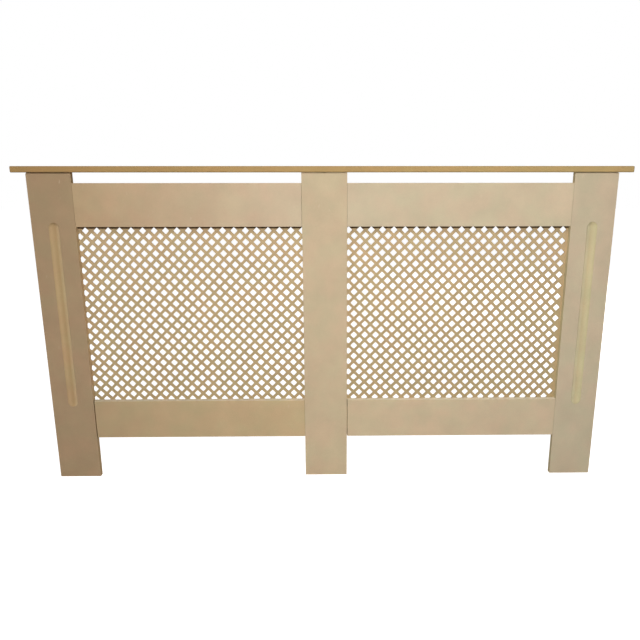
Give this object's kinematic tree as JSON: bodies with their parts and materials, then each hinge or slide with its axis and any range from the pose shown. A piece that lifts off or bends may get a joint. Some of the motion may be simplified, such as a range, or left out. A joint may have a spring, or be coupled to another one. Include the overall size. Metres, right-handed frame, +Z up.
{
  "type": "radiator cover cabinet",
  "caption": "Radiator cover cabinet in raw fibreboard: shelf on a stile and rail frame with perforated diamond grilles, fluted end stiles, side panels and an open back.",
  "frame": {"origin": "on the floor, midway along the shelf and midway through the cabinet's whole depth", "axes": "+X along the wall, to the right as seen from the front; +Y from the front towards the wall; +Z up. The front faces -Y"},
  "size_m": [1.52, 0.19, 0.815],
  "materials": {
    "raw_board": "raw medium density fibreboard, sawn and sanded, unpainted",
    "grille_board": "thin perforated fibreboard sheet, unpainted",
    "biscuit_wood": "pressed beech joint biscuit",
    "zinc_steel": "bright zinc plated steel"
  },
  "bodies": {
    "root": {"shelf": "raw_board", "left_stile": "raw_board", "centre_stile": "raw_board", "right_stile": "raw_board", "top_rail_left": "raw_board", "top_rail_right": "raw_board", "bottom_rail_left": "raw_board", "bottom_rail_right": "raw_board", "side_panel_left": "raw_board", "side_panel_right": "raw_board", "corner_batten_left": "raw_board", "corner_batten_right": "raw_board", "grille_left": "grille_board", "grille_right": "grille_board", "rail_biscuits": "biscuit_wood", "shelf_brackets": "zinc_steel", "wall_brackets": "zinc_steel", "shelf_bracket_screws": "zinc_steel", "wall_bracket_screws": "zinc_steel", "grille_staples_left": "zinc_steel", "grille_staples_right": "zinc_steel"}
  },
  "joints": []
}
